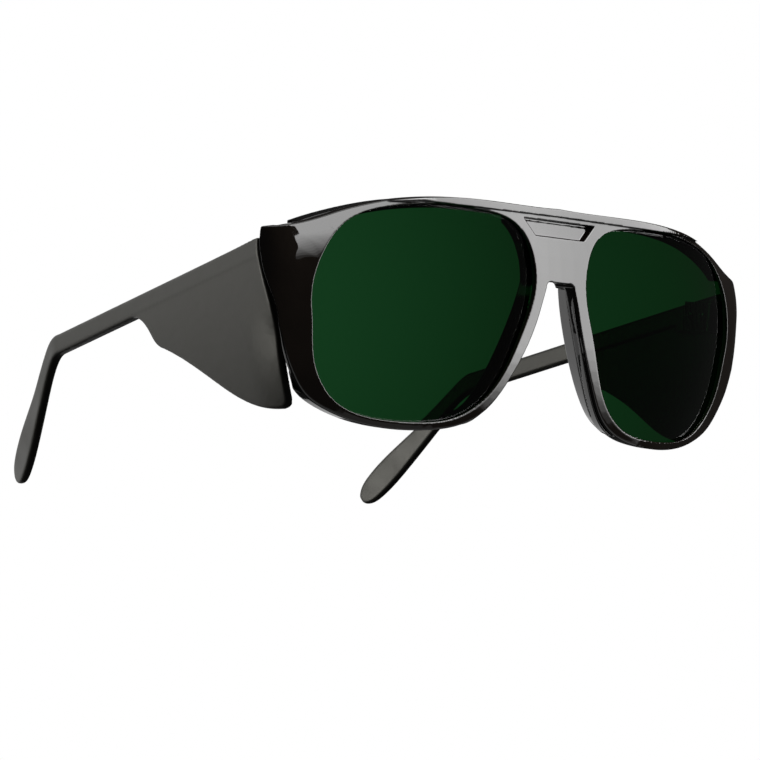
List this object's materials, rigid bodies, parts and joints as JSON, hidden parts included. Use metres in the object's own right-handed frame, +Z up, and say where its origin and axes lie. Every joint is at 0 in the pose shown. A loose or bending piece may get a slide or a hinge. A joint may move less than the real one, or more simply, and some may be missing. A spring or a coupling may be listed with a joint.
{
  "type": "welding spectacles",
  "caption": "Welding spectacles: glossy black front with curved dark green filters and a brow bar, and folding temples with side shields and flat ear tips.",
  "frame": {"origin": "middle of the bounding box's bottom, on the plane that the lower rims and the ear tips stand on", "axes": "+X towards the wearer's left, -Y out of the front of the lenses, +Z up; the front is symmetric about x = 0"},
  "size_m": [0.1492, 0.1482, 0.0532],
  "materials": {
    "frame_gloss": "polished black moulding",
    "temple_satin": "satin dark grey-green moulding",
    "filter_green": "dark green welding filter, smooth",
    "hinge_metal": "nickel silver, lightly brushed",
    "screw_steel": "turned steel",
    "wire_metal": "drawn nickel silver wire"
  },
  "bodies": {
    "front": {"front_frame": "frame_gloss", "brow_guard": "frame_gloss", "lens_left": "filter_green", "nose_pad_left": "frame_gloss", "front_hinge_leaf_left": "hinge_metal", "front_leaf_rivets_left": "screw_steel", "hinge_screw_left": "screw_steel", "lens_right": "filter_green", "nose_pad_right": "frame_gloss", "front_hinge_leaf_right": "hinge_metal", "front_leaf_rivets_right": "screw_steel", "hinge_screw_right": "screw_steel"},
    "temple_left": {"temple_left": "temple_satin", "temple_hinge_leaf_left": "hinge_metal", "temple_leaf_rivets_left": "screw_steel", "temple_core_wire_left": "wire_metal"},
    "temple_right": {"temple_right": "temple_satin", "temple_hinge_leaf_right": "hinge_metal", "temple_leaf_rivets_right": "screw_steel", "temple_core_wire_right": "wire_metal"}
  },
  "joints": [
    {"name": "left_temple_fold", "type": "hinge", "parent": "front", "child": "temple_left", "pos_m": [0.07, -0.05247, 0.03536], "axis": [0, -0.2011, 0.9796], "range_deg": [0, 90]},
    {"name": "right_temple_fold", "type": "hinge", "parent": "front", "child": "temple_right", "pos_m": [-0.07, -0.05247, 0.03536], "axis": [0, 0.2011, -0.9796], "range_deg": [0, 77]}
  ]
}
